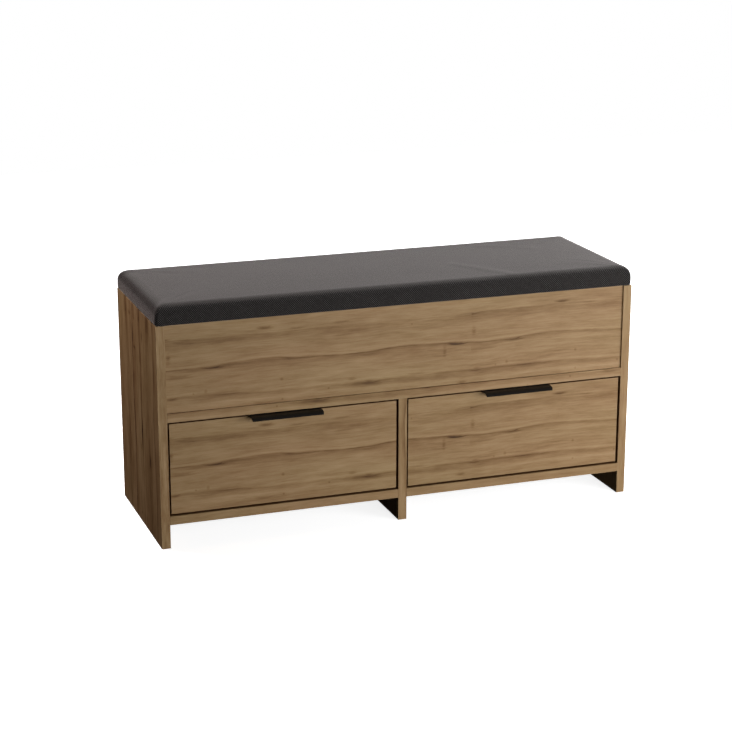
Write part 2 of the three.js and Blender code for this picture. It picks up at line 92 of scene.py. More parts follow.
# Lamps: name, place, the point it faces, diameter, power and colour.
WHITE = (1, 1, 1)
LAMPS = [
    ("key", (0.4, -3.0, 0.5), (0, 0, 0.25), 1.5, 39, WHITE),
    ("right", (1.2, -1.4, 0.35), (0.3, 0, 0.25), 1.0, 19.5, WHITE),
    ("overhead", (1.5, 0.9, 2.0), (0.1, 0, 0.4), 1.8, 72, WHITE),
    ("left_top", (-1.1, 0.6, 1.5), (-0.5, 0, 0.4), 0.7, 19, (1, 0.87, 0.84)),
    ("back", (0.6, 2.4, 1.3), (0, 0, 0.45), 1.4, 7, WHITE),
]
FILL_ABOVE = 0.5  # strength of the sky's soft fill
FILL_BELOW = 0.12
FILL_SPAN = (-0.2, 0.3)  # heights of view direction between which the one passes into the other
FLOOR_HALF = 4
FLOOR_TONES = [(0.3, (0.93, 0.93, 0.93)), (0.7, (0.97, 0.97, 0.97))]
GLOW_SPAN = (0.6, 1.6)  # distance from the bench over which the floor's own glow rises to plain white
GLOW = (0.82, 1.0)


def area_light(name, location, target, size, power, color):
    data = bpy.data.lights.new(name, "AREA")
    data.shape = "DISK"
    data.size = size
    data.energy = power
    data.color = color
    light = bpy.data.objects.new(name, data)
    light.location = location
    aim = Vector(target) - Vector(location)
    light.rotation_euler = aim.to_track_quat("-Z", "Y").to_euler()
    scene.collection.objects.link(light)


def make_world():
    """Soft fill from above, little from below, and plain white behind the bench."""
    world = bpy.data.worlds.new("studio")
    scene.world = world
    world.use_nodes = True
    tree = world.node_tree
    fill = tree.nodes["Background"]
    seen = tree.nodes.new("ShaderNodeBackground")
    seen.inputs["Color"].default_value = (1, 1, 1, 1)
    direction = tree.nodes.new("ShaderNodeTexCoord")
    parts = tree.nodes.new("ShaderNodeSeparateXYZ")
    height = tree.nodes.new("ShaderNodeMapRange")
    height.inputs["From Min"].default_value, height.inputs["From Max"].default_value = FILL_SPAN
    height.inputs["To Min"].default_value = FILL_BELOW
    height.inputs["To Max"].default_value = FILL_ABOVE
    path = tree.nodes.new("ShaderNodeLightPath")
    mix = tree.nodes.new("ShaderNodeMixShader")
    tree.links.new(direction.outputs["Generated"], parts.inputs[0])
    tree.links.new(parts.outputs[2], height.inputs["Value"])
    tree.links.new(height.outputs[0], fill.inputs["Strength"])
    tree.links.new(path.outputs["Is Camera Ray"], mix.inputs[0])
    tree.links.new(fill.outputs[0], mix.inputs[1])
    tree.links.new(seen.outputs[0], mix.inputs[2])
    tree.links.new(mix.outputs[0], tree.nodes["World Output"].inputs["Surface"])


def make_floor():
    mesh = bpy.data.meshes.new("floor")
    corners = [(FLOOR_HALF * x, FLOOR_HALF * y, 0) for x, y in ((-1, -1), (1, -1), (1, 1), (-1, 1))]
    mesh.from_pydata(corners, [], [(0, 1, 2, 3)])
    floor = bpy.data.objects.new("floor", mesh)
    scene.collection.objects.link(floor)
    floor.visible_diffuse = False  # its bounce would light the underside
    floor.visible_glossy = False
    g = Graph("studio_floor", roughness=0.9, specular=0.0)
    g.to_shader("Base Color", g.ramp(g.noise(g.object_coords(), 3, 2), FLOOR_TONES))
    g.set(Emission_Color=(1, 1, 1, 1))
    away = g.length(g.object_coords())
    g.to_shader("Emission Strength", g.span(away, *GLOW_SPAN, *GLOW))
    mesh.materials.append(g.material)


def make_studio():
    for lamp in LAMPS:
        area_light(*lamp)
    make_world()
    make_floor()
    scene.view_settings.view_transform = "Standard"


# ---- Node graphs ----

class Graph:
    """One material's node tree, with a short call for each kind of node used here."""

    def __init__(self, name, roughness=0.5, metallic=0.0, specular=0.5):
        self.material = bpy.data.materials.new(name)
        self.material.use_nodes = True
        self.tree = self.material.node_tree
        self.shader = self.tree.nodes["Principled BSDF"]
        self.set(Roughness=roughness, Metallic=metallic)
        self.shader.inputs["Specular IOR Level"].default_value = specular

    def set(self, **values):
        for name, value in values.items():
            self.shader.inputs[name.replace("_", " ")].default_value = value

    def put(self, socket, value):
        if isinstance(value, bpy.types.NodeSocket):
            self.tree.links.new(value, socket)
        elif value is not None:
            socket.default_value = value

    def to_shader(self, name, value):
        self.put(self.shader.inputs[name], value)

    def node(self, kind):
        return self.tree.nodes.new(kind)

    def object_coords(self):
        return self.node("ShaderNodeTexCoord").outputs["Object"]

    def normal(self):
        """The piece's own normal, which turns with the piece."""
        return self.node("ShaderNodeTexCoord").outputs["Normal"]

    def split(self, vector):
        n = self.node("ShaderNodeSeparateXYZ")
        self.put(n.inputs[0], vector)
        return n.outputs[0], n.outputs[1], n.outputs[2]

    def merge(self, x, y, z):
        n = self.node("ShaderNodeCombineXYZ")
        for socket, value in zip(n.inputs, (x, y, z)):
            self.put(socket, value)
        return n.outputs[0]

    def math(self, operation, a, b=None, c=None, clamp=False):
        n = self.node("ShaderNodeMath")
        n.operation = operation
        n.use_clamp = clamp
        for socket, value in zip(n.inputs, (a, b, c)):
            self.put(socket, value)
        return n.outputs[0]

    def length(self, vector):
        n = self.node("ShaderNodeVectorMath")
        n.operation = "LENGTH"
        self.put(n.inputs[0], vector)
        return n.outputs["Value"]

    def scaled(self, vector, factors):
        n = self.node("ShaderNodeVectorMath")
        n.operation = "MULTIPLY"
        self.put(n.inputs[0], vector)
        n.inputs[1].default_value = factors
        return n.outputs[0]

    def noise(self, vector, scale, detail=2, rough=0.5, distortion=0.0):
        n = self.node("ShaderNodeTexNoise")
        self.put(n.inputs["Vector"], vector)
        n.inputs["Scale"].default_value = scale
        n.inputs["Detail"].default_value = detail
        n.inputs["Roughness"].default_value = rough
        n.inputs["Distortion"].default_value = distortion
        return n.outputs["Fac"]

    def cells(self, vector, scale):
        """Distance to the nearest cell centre, and that cell's random colour."""
        n = self.node("ShaderNodeTexVoronoi")
        self.put(n.inputs["Vector"], vector)
        n.inputs["Scale"].default_value = scale
        return n.outputs["Distance"], n.outputs["Color"]

    def span(self, value, low, high, out_low=0.0, out_high=1.0, smooth=True):
        n = self.node("ShaderNodeMapRange")
        n.interpolation_type = "SMOOTHSTEP" if smooth else "LINEAR"
        for socket, item in zip(n.inputs, (value, low, high, out_low, out_high)):
            self.put(socket, item)
        return n.outputs[0]

    def ramp(self, factor, stops):
        n = self.node("ShaderNodeValToRGB")
        elements = n.color_ramp.elements
        while len(elements) < len(stops):
            elements.new(0.5)
        for element, (position, color) in zip(elements, stops):
            element.position = position
            element.color = (*color, 1)
        self.put(n.inputs[0], factor)
        return n.outputs[0]

    def mix(self, factor, a, b, blend="MIX"):
        n = self.node("ShaderNodeMix")
        n.data_type = "RGBA"
        n.blend_type = blend
        self.put(n.inputs[0], factor)
        for socket, value in ((n.inputs[6], a), (n.inputs[7], b)):
            if isinstance(value, tuple):
                value = (*value, 1)
            self.put(socket, value)
        return n.outputs[2]

    def bump(self, height, strength, distance):
        n = self.node("ShaderNodeBump")
        n.inputs["Strength"].default_value = strength
        n.inputs["Distance"].default_value = distance
        self.put(n.inputs["Height"], height)
        self.to_shader("Normal", n.outputs[0])


# ---- Materials ----

# The oak decor is one printed sheet, laid so that its grain runs along each board. A place on it is
# (along, across) in metres, as it lies on the upper front panel: along is X, across is the height.
DECOR_REPEAT = 0.642
DECOR_START = -0.492
OAK_TONES = [
    (0.0, (0.400, 0.272, 0.146)),
    (0.3, (0.305, 0.194, 0.094)),
    (0.55, (0.218, 0.125, 0.054)),
    (0.78, (0.122, 0.062, 0.024)),
    (1.0, (0.045, 0.022, 0.010)),
]

OAK_MIDDLE = 0.32  # the sheet's average place in these tones
GAP_SHADE_TONE = (0.42, 0.30, 0.17)  # painted shade: how much darker and browner the boards are made in the gaps round the drawers
# The painted shade in the bays: how far it reaches past the boards, how softly it ends, and how far
# behind the fronts' faces it takes to come in.
BAY_MARGIN = 0.6 * MM  # reaches over the clearance between boards
BAY_BLUR = 0.4 * MM
BAY_START = 2 * MM

# Knots and smudges: along, across, half length, half height, in millimetres, and how dark.
OAK_KNOTS = [
    (-494, 427, 18, 3, 0.30),
    (-470, 352, 30, 6, 0.22),
    (-486, 390, 5, 11, 0.22),
    (-480, 308, 11, 4, 0.26),
    (-396, 365, 20, 3, 0.30),
    (-366, 311, 34, 8, 0.20),
    (-322, 309, 34, 5, 0.16),
    (-290, 436, 17, 4, 0.34),
    (-297, 284, 18, 4, 0.24),
    (-226, 430, 20, 2.5, 0.22),
    (-220, 369, 34, 2.5, 0.22),
    (-128, 434, 22, 2, 0.20),
    (-132, 407, 24, 2, 0.16),
    (-108, 313, 10, 5, 0.16),
    (-70, 303, 18, 4.5, 0.34),
    (35, 311, 26, 3, 0.30),
    (92, 352, 4, 13, 0.16),
    (120, 366, 18, 3, 0.34),
    (131, 283, 10, 4, 0.26),
    (-420, 245, 14, 5, 0.26),
    (-120, 236, 18, 5, 0.30),
]
# Flecks: along, across and half width, in millimetres, all equally dark.
OAK_FLECKS = [
    (-412, 318, 4),
    (-437, 316, 2.4),
    (-256, 327, 3.6),
    (-255, 287, 2.6),
    (-158, 299, 2.6),
    (20, 418, 2.2),
]
FLECK_DARK = 0.2
# The grain's layers of noise: stretch along and across, detail, roughness, the part of the noise
# used, and how far it lightens and darkens.
OAK_LAYERS = {
    "bands": ((2.2, 26, 1), 3, 0.55, (0.25, 0.75), (0.15, 0.45)),
    "clouds": ((14, 62, 1), 4, 0.62, (0.25, 0.75), (-0.13, 0.13)),
    "streaks": ((7, 130, 1), 4, 0.66, (0.25, 0.75), (-0.12, 0.12)),
    "threads": ((24, 430, 1), 3, 0.6, (0.25, 0.75), (-0.11, 0.11)),
    "fibres": ((60, 1700, 1), 2, 0.6, (0.3, 0.7), (-0.03, 0.03)),
}
# How the fibres wander: stretch, detail, roughness and the most they move, in metres.
OAK_WANDERING = [((2.2, 9, 1), 2, 0.45, 0.007), ((13, 45, 1), 3, 0.55, 0.0016)]
KNOT_PUSH = 0.010  # how far the darkest knot would push the fibres aside
# Dark bands: the height of the sharp upper side and the width.
OAK_BANDS = [(0.4285, 0.024), (0.246, 0.034)]
BAND_DARK = 0.24
# Veins: height, start and period of the wave, its rise, the depth of the fade, the line's darkness.
OAK_VEINS = [
    (0.3683, -0.37, DECOR_REPEAT / 2, 0.0031, 0.012, 0.24),
    (0.3075, 0.03, DECOR_REPEAT, 0.0034, 0.018, 0.05),
    (0.196, -0.1, DECOR_REPEAT / 2, 0.004, 0.014, 0.24),
]
VEIN_FADE = 0.15
VEIN_RIM = -0.13
PALE_STRIPE = 0.291  # its height on the sheet
STRIPE_LIGHT = -0.13
PORE_DARK = 0.05
OAK_HUES = [(0.35, (1.03, 0.985, 0.98)), (0.65, (0.985, 1.01, 0.96))]
SHEET_SKEW = 0.9  # how far the pattern moves across the sheet for each metre of a board's thickness


def turning(g, along, start, period, height):
    """A gentle wave along the grain."""
    angle = g.math("MULTIPLY_ADD", along, 2 * math.pi / period, -start * 2 * math.pi / period)
    return g.math("MULTIPLY", g.math("SINE", angle), height)


def mark(g, along, across, centre_along, centre_across, half_length, half_height):
    """Distance from a mark's middle, 1 on its outline; the mark's sizes are in millimetres."""
    return g.length(g.merge(
        g.math("MULTIPLY_ADD", along, 1 / (half_length * MM), -centre_along / half_length),
        g.math("MULTIPLY_ADD", across, 1 / (half_height * MM), -centre_across / half_height),
        0.0,
    ))


def edge_shade_mask(g):
    """Mask of painted shade: 1 on the edges of a drawer front, which sit in the gaps, 0 on its faces.
    """
    return g.span(g.math("ABSOLUTE", g.split(g.normal())[1]), 0.8, 0.4)


def bay_shade_mask(g):
    """Mask of painted shade: 1 in the bays that the drawers slide into, from the fronts' faces back."""
    left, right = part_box("left_bottom_panel"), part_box("right_bottom_panel")
    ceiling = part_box("storage_floor")[0].z
    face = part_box("left_drawer_front")[0].y
    x, y, z = g.split(g.object_coords())
    inside = g.span(y, face, face + BAY_START)
    walls = ((x, left[0].x, -1), (x, right[1].x, 1), (z, left[1].z, -1), (z, ceiling, 1))
    for value, limit, sign in walls:
        limit += sign * BAY_MARGIN
        inside = g.math("MULTIPLY", inside, g.span(value, limit + sign * BAY_BLUR, limit))
    return inside


def oak(name, grain, shift=0.0, lift=0.0, skew=SHEET_SKEW, contrast=1.0, shaded=bay_shade_mask):
    """Oak-decor melamine. grain is the axis the fibres follow. shift and lift say which part of the
    sheet is on the board; skew lets the pattern run on over the board's edges; contrast strengthens
    the figure; shaded picks the places darkened with painted shade."""
    g = Graph(name, roughness=0.5, specular=0.18)
    x, y, z = g.split(g.object_coords())
    along, across, depth = {"x": (x, z, y), "z": (z, y, x)}[grain]
    along = g.math("ADD", along, shift)
    across = g.math("ADD", g.math("MULTIPLY_ADD", depth, skew, across), lift)

    # The fibres wander a little.
    place = g.merge(along, across, 0.0)
    wave, ripple = (
        g.span(g.noise(g.scaled(place, stretch), 1.0, detail, rough), 0.2, 0.8, -most, most, False)
        for stretch, detail, rough, most in OAK_WANDERING
    )
    wander = g.math("ADD", wave, ripple)

    # Knots push the fibres aside.
    tile = g.math("WRAP", along, DECOR_START + DECOR_REPEAT, DECOR_START)
    knots = None
    for *outline, dark in OAK_KNOTS:
        near = g.span(mark(g, tile, across, *outline), 1.5, 0.0, 0.0, dark)
        knots = near if knots is None else g.math("MAXIMUM", knots, near)
    across = g.math("ADD", across, g.math("MULTIPLY_ADD", knots, KNOT_PUSH, wander))
    flowing = g.merge(along, across, 0.0)

    dark, layers = None, {}
    for layer, (stretch, detail, rough, used, darkening) in OAK_LAYERS.items():
        layers[layer] = g.noise(g.scaled(flowing, stretch), 1.0, detail, rough)
        share = g.span(layers[layer], *used, *darkening, False)
        dark = share if dark is None else g.math("ADD", dark, share)
    streaks, threads, fibres = (layers[layer] for layer in ("streaks", "threads", "fibres"))
    presence = g.noise(g.scaled(flowing, (3.4, 18, 1)), 1.0, 3, 0.6)

    # Dark bands, sharp on their upper side, that fade near the middle of each repeat.
    window = g.span(g.math("ABSOLUTE", tile), 0.04, 0.2, 0.15, 1.0)
    patchy = g.span(presence, 0.2, 0.6, 0.4, 1.0)
    for edge, width in OAK_BANDS:
        above = g.math("SUBTRACT", across, edge)
        band = g.math("MULTIPLY", g.span(above, -width, -0.4 * width), g.span(above, 1.5 * MM, -MM))
        band = g.math("MULTIPLY", g.math("MULTIPLY", band, window), patchy)
        dark = g.math("MULTIPLY_ADD", band, BAND_DARK, dark)

    # Veins: a fine dark line with a pale rim above and a brown fade below.
    drawn = g.span(presence, 0.38, 0.62, 0.2, 1.0)
    for height, start, period, rise, fade, line_dark in OAK_VEINS:
        above = g.math("SUBTRACT", across, g.math("ADD", turning(g, tile, start, period, rise), height))
        line = g.math("MULTIPLY", g.span(g.math("ABSOLUTE", above), 2.2 * MM, 0.4 * MM), drawn)
        below = g.math("MULTIPLY", g.span(above, -fade, -MM), g.span(above, MM, -MM))
        rim = g.math("MULTIPLY", g.span(above, 9 * MM, 4 * MM), g.span(above, MM, 4 * MM))
        for part, strength in ((line, line_dark), (below, VEIN_FADE), (rim, VEIN_RIM)):
            dark = g.math("MULTIPLY_ADD", part, strength, dark)

    stripe = g.math("ABSOLUTE", g.math("SUBTRACT", across, PALE_STRIPE))
    dark = g.math("MULTIPLY_ADD", g.span(stripe, 7 * MM, MM), STRIPE_LIGHT, dark)

    # The knots themselves, broken up by the streaks, and the flecks.
    dark = g.math("MULTIPLY_ADD", knots, g.span(streaks, 0.3, 0.62, 0.55, 1.25), dark)
    for fleck_along, fleck_across, half in OAK_FLECKS:
        near = g.span(mark(g, tile, across, fleck_along, fleck_across, half, half), 1.3, 0.2)
        dark = g.math("MULTIPLY_ADD", near, FLECK_DARK, dark)

    # Short open pores.
    pores = g.span(g.noise(g.scaled(flowing, (90, 1500, 1)), 1.0, 1), 0.6, 0.7)
    dark = g.math("MULTIPLY_ADD", pores, PORE_DARK, dark)
    dark = g.math("MULTIPLY_ADD", dark, contrast, OAK_MIDDLE * (1 - contrast))
    hue = g.ramp(g.noise(g.scaled(flowing, (1.7, 6, 1)), 1.0, 2), OAK_HUES)
    tone = g.mix(1.0, g.ramp(dark, OAK_TONES), hue, "MULTIPLY")
    # Painted shade: the gaps round the drawers are darkened to a deeper brown.
    tone = g.mix(shaded(g), tone, GAP_SHADE_TONE, "MULTIPLY")

    g.to_shader("Base Color", tone)
    g.to_shader("Roughness", g.span(fibres, 0.3, 0.7, 0.58, 0.48))
    relief = g.math("SUBTRACT", g.math("ADD", fibres, threads), g.math("MULTIPLY", pores, 0.8))
    g.bump(relief, 0.25, 0.2 * MM)
    return g.material


def mottled(name, dark, light, scale, stretch=(1, 1, 1), roughness=(0.5, 0.6), metallic=0.0, bump=0.1,
            depth=0.05 * MM, specular=0.5):
    """A plain surface with fine variation in colour, roughness and relief."""
    g = Graph(name, metallic=metallic, specular=specular)
    place = g.scaled(g.object_coords(), stretch)
    coarse = g.noise(place, scale * 0.1, 3, 0.6)
    fine = g.noise(place, scale, 3, 0.6)
    blend = g.math("MULTIPLY_ADD", fine, 0.6, g.math("MULTIPLY", coarse, 0.4))
    g.to_shader("Base Color", g.ramp(blend, [(0.35, dark), (0.65, light)]))
    g.to_shader("Roughness", g.span(blend, 0.35, 0.65, *roughness))
    g.bump(fine, bump, depth)
    return g.material


FLAKES_PER_METRE = (260, 420, 420)
FLAKE_TONES = [(0.0, (0.30, 0.19, 0.10)), (0.5, (0.46, 0.32, 0.18)), (1.0, (0.60, 0.45, 0.28))]
DUST_TONES = [(0.3, (0.36, 0.24, 0.13)), (0.7, (0.58, 0.43, 0.26))]


def chipboard(name):
    """Raw pressed chips: flat flakes of several browns."""
    g = Graph(name, roughness=0.85, specular=0.2)
    place = g.object_coords()
    distance, cell = g.cells(g.scaled(place, FLAKES_PER_METRE), 1.0)
    flake = g.ramp(g.split(cell)[0], FLAKE_TONES)
    dust = g.noise(place, 900, 2)
    g.to_shader("Base Color", g.mix(0.35, flake, g.ramp(dust, DUST_TONES)))
    g.bump(g.math("ADD", distance, dust), 0.4, 0.3 * MM)
    return g.material


WEAVE_PITCH = 4.4 * MM  # between the light slubs of the weave, along a row
THREADS_PER_SLUB = 4
CLOTH_TONES = [(0.3, (0.0085, 0.0076, 0.0072)), (0.7, (0.0135, 0.0122, 0.0117))]
GROOVE_TONE, CROWN_TONE = (0.004, 0.0035, 0.0033), (0.020, 0.018, 0.0172)
SLUB_TONE = (0.140, 0.128, 0.123)
SHEEN_TONE = (0.40, 0.378, 0.37, 1)
FACE_SHARPNESS = 6.0  # how abruptly the weave turns from one face of the seat to the next


def weave_height(g, a, b, pitch):
    """Over-and-under threads running along a and b, 0 in the grooves and 1 on the crowns."""
    step = math.pi / pitch
    wave_a = g.math("SINE", g.math("MULTIPLY", a, step))
    wave_b = g.math("SINE", g.math("MULTIPLY", b, step))
    over = g.math("GREATER_THAN", g.math("MULTIPLY", wave_a, wave_b), 0.0)
    under = g.math("SUBTRACT", 1.0, over)
    crown_a = g.math("MULTIPLY", over, g.math("ABSOLUTE", wave_a))
    crown_b = g.math("MULTIPLY", under, g.math("ABSOLUTE", wave_b))
    return g.math("ADD", crown_a, crown_b)


def slub_dots(g, a, b, pitch):
    """Light dots in staggered rows, which read as a diagonal lattice."""
    step = 2 * math.pi / pitch
    wave_a = g.math("COSINE", g.math("MULTIPLY", a, step))
    wave_b = g.math("COSINE", g.math("MULTIPLY", b, step))
    return g.span(g.math("MULTIPLY", wave_a, wave_b), 0.25, 0.8)


def woven_fabric(name):
    """The weave, laid flat on the seat's top, its front and back, and its ends."""
    g = Graph(name, roughness=0.9, specular=0.15)
    x, y, z = g.split(g.object_coords())
    nx, ny, nz = (g.math("POWER", g.math("ABSOLUTE", n), FACE_SHARPNESS) for n in g.split(g.normal()))
    total = g.math("ADD", nx, g.math("ADD", ny, nz))

    def on_faces(pattern, pitch):
        parts = [
            g.math("MULTIPLY", nx, pattern(g, y, z, pitch)),
            g.math("MULTIPLY", ny, pattern(g, x, z, pitch)),
            g.math("MULTIPLY", nz, pattern(g, x, y, pitch)),
        ]
        return g.math("DIVIDE", g.math("ADD", parts[0], g.math("ADD", parts[1], parts[2])), total)

    threads = on_faces(weave_height, WEAVE_PITCH / THREADS_PER_SLUB)
    dots = on_faces(slub_dots, WEAVE_PITCH)
    wander = g.noise(g.object_coords(), 14, 3, 0.6)
    lint = g.noise(g.object_coords(), 1500, 2, 0.6)
    thread_tone = g.mix(g.span(threads, 0.1, 0.9), GROOVE_TONE, CROWN_TONE)
    tone = g.mix(0.6, g.ramp(wander, CLOTH_TONES), thread_tone)
    tone = g.mix(g.math("MULTIPLY", dots, g.span(lint, 0.35, 0.65, 0.35, 1.0)), tone, SLUB_TONE)
    g.to_shader("Base Color", tone)
    g.set(Sheen_Weight=1.0, Sheen_Roughness=0.35, Sheen_Tint=SHEEN_TONE)
    upright = g.math("SUBTRACT", 1.0, g.math("DIVIDE", nz, total))
    relief = g.math("ADD", threads, g.math("MULTIPLY", dots, 0.5))
    # The relief is weaker on the top, which is pressed flat.
    g.bump(g.math("MULTIPLY", relief, g.math("MULTIPLY_ADD", upright, 0.7, 0.3)), 0.5, 0.25 * MM)
    return g.material


# Where the sheet lies on the left side panel, and how much stronger its figure is there.
SIDE_SHIFT = -0.276
SIDE_LIFT = 0.3195
SIDE_CONTRAST = 1.6
# Plain finishes: the material's name, its darker and lighter tone, grains per metre, and the rest.
PLAIN_FINISHES = {
    "hardboard": (
        "hardboard", (0.30, 0.19, 0.10), (0.40, 0.27, 0.155), 420, {"roughness": (0.7, 0.85)},
    ),
    "melamine": (
        "melamine", (0.70, 0.68, 0.64), (0.76, 0.74, 0.70), 700, {"roughness": (0.42, 0.5)},
    ),
    "black_coat": (
        "black_powder_coat", (0.0055, 0.0048, 0.004), (0.011, 0.0095, 0.008), 1800,
        {"roughness": (0.5, 0.62), "bump": 0.35, "depth": 0.04 * MM, "specular": 0.3},
    ),
    "zinc": (
        "zinc_plate", (0.50, 0.51, 0.52), (0.62, 0.63, 0.64), 260,
        {"stretch": (1, 0.08, 1), "roughness": (0.28, 0.42), "metallic": 1.0},
    ),
    "strut_enamel": (
        "strut_enamel", (0.010, 0.010, 0.011), (0.016, 0.016, 0.017), 500, {"roughness": (0.25, 0.34)},
    ),
    "chrome": (
        "rod_chrome", (0.66, 0.67, 0.69), (0.72, 0.73, 0.75), 600,
        {"stretch": (1, 1, 0.05), "roughness": (0.08, 0.16), "metallic": 1.0, "bump": 0.03},
    ),
}


def make_materials():
    side_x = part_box("left_side_panel")[0].x
    panel_low, panel_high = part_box("upper_front_panel")
    drawer_low, drawer_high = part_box("left_drawer_front")
    drawer_drop = panel_high.z - drawer_high.z  # both fronts show the sheet from its upper edge down
    drawer_lift = drawer_drop - SHEET_SKEW * drawer_low.y
    side_lift = SIDE_LIFT + SHEET_SKEW * side_x
    made = {
        "oak_front": oak("oak_front", "x", 0.0, -SHEET_SKEW * panel_low.y),
        "oak_drawer": oak("oak_drawer", "x", 0.0, drawer_lift, shaded=edge_shade_mask),
        "oak_rails": oak("oak_rails", "x", 0.11, 0.17),
        "oak_left_side": oak("oak_left_side", "z", SIDE_SHIFT, side_lift, -SHEET_SKEW, SIDE_CONTRAST),
        "oak_right_side": oak("oak_right_side", "z", 0.2, 0.27),
        "oak_divider": oak("oak_divider", "z", 0.35, 0.52),
        "chipboard": chipboard("raw_chipboard"),
        "fabric": woven_fabric("charcoal_weave"),
    }
    for finish, (name, dark, light, scale, looks) in PLAIN_FINISHES.items():
        made[finish] = mottled(name, dark, light, scale, **looks)
    return made


BOARD_EDGE = 0.6  # round on the edges, in millimetres, as in the last column below
SHARP_EDGE = math.radians(50)
DRAWER_BOX = ["drawer_left_side", "drawer_right_side", "drawer_back", "drawer_base"]
RUNNER_MEMBERS = ("cabinet", "middle", "drawer")
RUNNERS = [f"drawer_{end}_runner_{member}" for end in SIDES for member in RUNNER_MEMBERS]
FITTINGS = [
    "front_cam_lock", "rail_cam_lock", "hinge_body_leaf", "hinge_lid_leaf", "hinge_pin",
    "strut_side_bracket", "strut_lid_bracket", "pull_left_screw", "pull_right_screw",
]
# What each half of the bench has: CAD nodes, finish and edge.
SIDE_PARTS = [
    (DRAWER_BOX, "melamine", 0.4),
    (["drawer_pull"], "black_coat", 0.5),
    (RUNNERS, "zinc", 0.4),
    (FITTINGS, "zinc", 0.2),
    (["strut_cylinder"], "strut_enamel", 0.5),
    (["strut_rod"], "chrome", 0.3),
]


def dress(names, material, bevel):
    """Gives CAD nodes their finish, and a small round on their edges."""
    for name in names:
        mesh = nodes[name].data
        mesh.materials.clear()
        mesh.materials.append(material)
        modifier = nodes[name].modifiers.new("edge_round", "BEVEL")
        modifier.width = bevel * MM
        modifier.segments = 2
        modifier.limit_method = "ANGLE"
        modifier.angle_limit = SHARP_EDGE


def dress_frame():
    rails = ["storage_floor", "left_bottom_panel", "right_bottom_panel", "back_rail"]
    dress(rails, finishes["oak_rails"], BOARD_EDGE)
    dress(["centre_divider"], finishes["oak_divider"], BOARD_EDGE)
    dress(["upper_front_panel"], finishes["oak_front"], BOARD_EDGE)
    dress(["back_panel"], finishes["hardboard"], 0.3)
    dress(["lid_board"], finishes["chipboard"], 0.3)
    for side in SIDES:
        dress([f"{side}_side_panel"], finishes[f"oak_{side}_side"], BOARD_EDGE)
        dress([f"{side}_drawer_front"], finishes["oak_drawer"], BOARD_EDGE)
        for parts, finish, edge in SIDE_PARTS:
            dress([f"{side}_{part}" for part in parts], finishes[finish], edge)


# ---- Seat ----

VOXEL = 5 * MM
START_INSET = 0.6 * MM
TOP_DROP = 0.8 * MM
CROWN = 3.2 * MM  # rise of the seat's middle
PULL_IN = 1.2 * MM  # most that a side may draw in
HELD_HEIGHT = 14 * MM  # the cloth is held to the board up to here
HEM_WIDTH = 20 * MM
CLOTH_THICKNESS = 0.3 * MM
INFLATING_FRAMES = 20
# The folds show on the top only, and fade out down the rolled edges.
FOLD_FADE_LOW, FOLD_FADE_DEPTH = 12 * MM, 10 * MM
UNEVENNESS = 0.25 * MM
UNEVEN_SCALE = Vector((9, 13, 13))
# Soft folds left in the cloth: two ends from the seat's middle, half width and height, in millimetres.
FOLDS = [
    ((158, -40), (240, -140), 12, 0.7),
    ((285, 110), (375, 50), 16, 0.5),
    ((-465, 120), (-425, 80), 18, -0.45),
    ((-385, 130), (-345, 108), 16, -0.45),
    ((-70, 60), (60, 95), 22, 0.35),
]


def link_mesh(name, mesh):
    piece = bpy.data.objects.new(name, mesh)
    scene.collection.objects.link(piece)
    return piece


def hull_of(node, name):
    """The convex hull of a CAD node."""
    bm = bmesh.new()
    for vertex in nodes[node].data.vertices:
        bm.verts.new(vertex.co)
    bmesh.ops.convex_hull(bm, input=bm.verts)
    bmesh.ops.delete(bm, geom=[vertex for vertex in bm.verts if not vertex.link_faces], context="VERTS")
    bmesh.ops.recalc_face_normals(bm, faces=bm.faces)
    mesh = bpy.data.meshes.new(name)
    bm.to_mesh(mesh)
    bm.free()
    return mesh


def apply_modifiers(piece):
    graph = bpy.context.evaluated_depsgraph_get()
    baked = bpy.data.meshes.new_from_object(piece.evaluated_get(graph))
    piece.modifiers.clear()
    piece.data = baked


def coords_of(mesh):
    flat = np.empty(len(mesh.vertices) * 3)
    mesh.vertices.foreach_get("co", flat)
    return flat.reshape(-1, 3)


def normals_of(mesh):
    flat = np.empty(len(mesh.vertices) * 3)
    mesh.vertex_normals.foreach_get("vector", flat)
    return flat.reshape(-1, 3)


def set_coords(mesh, coords):
    mesh.vertices.foreach_set("co", coords.ravel())
    mesh.update()


def inflate(piece, grip):
    """Cloth under light pressure, held below the height grip; its swell is scaled to the crown."""
    held = piece.vertex_groups.new(name="held")
    start = coords_of(piece.data)
    normals = normals_of(piece.data)
    held.add([i for i, point in enumerate(start) if point[2] < grip], 1.0, "REPLACE")
    modifier = piece.modifiers.new("cloth", "CLOTH")
    settings = modifier.settings
    settings.quality = 6
    settings.mass = 0.3
    settings.tension_stiffness = 12
    settings.compression_stiffness = 12
    settings.shear_stiffness = 6
    settings.bending_stiffness = 0.8
    settings.use_pressure = True
    settings.uniform_pressure_force = 4
    settings.vertex_group_mass = "held"
    settings.effector_weights.gravity = 0
    modifier.collision_settings.use_collision = False
    for number in range(1, INFLATING_FRAMES + 1):
        scene.frame_set(number)
    graph = bpy.context.evaluated_depsgraph_get()
    blown = coords_of(piece.evaluated_get(graph).data)
    piece.modifiers.clear()
    scene.frame_set(1)
    swell = ((blown - start) * normals).sum(axis=1)
    swell = np.clip(swell * CROWN / swell.max(), -PULL_IN, CROWN)
    set_coords(piece.data, start + normals * swell[:, None])


def fold_height(point, middle):
    """How far the folds and the cloth's unevenness lift a point of the top."""
    x, y = point[0] - middle.x, point[1] - middle.y
    lift = UNEVENNESS * noise.noise(Vector(point) * UNEVEN_SCALE)
    for first, last, half_width, height in FOLDS:
        start, end = Vector(first) * MM, Vector(last) * MM
        run = end - start
        share = (Vector((x, y)) - start).dot(run) / run.length_squared
        away = (Vector((x, y)) - start - run * min(max(share, 0), 1)).length / (half_width * MM)
        lift += height * MM * math.exp(-away * away)
    return lift


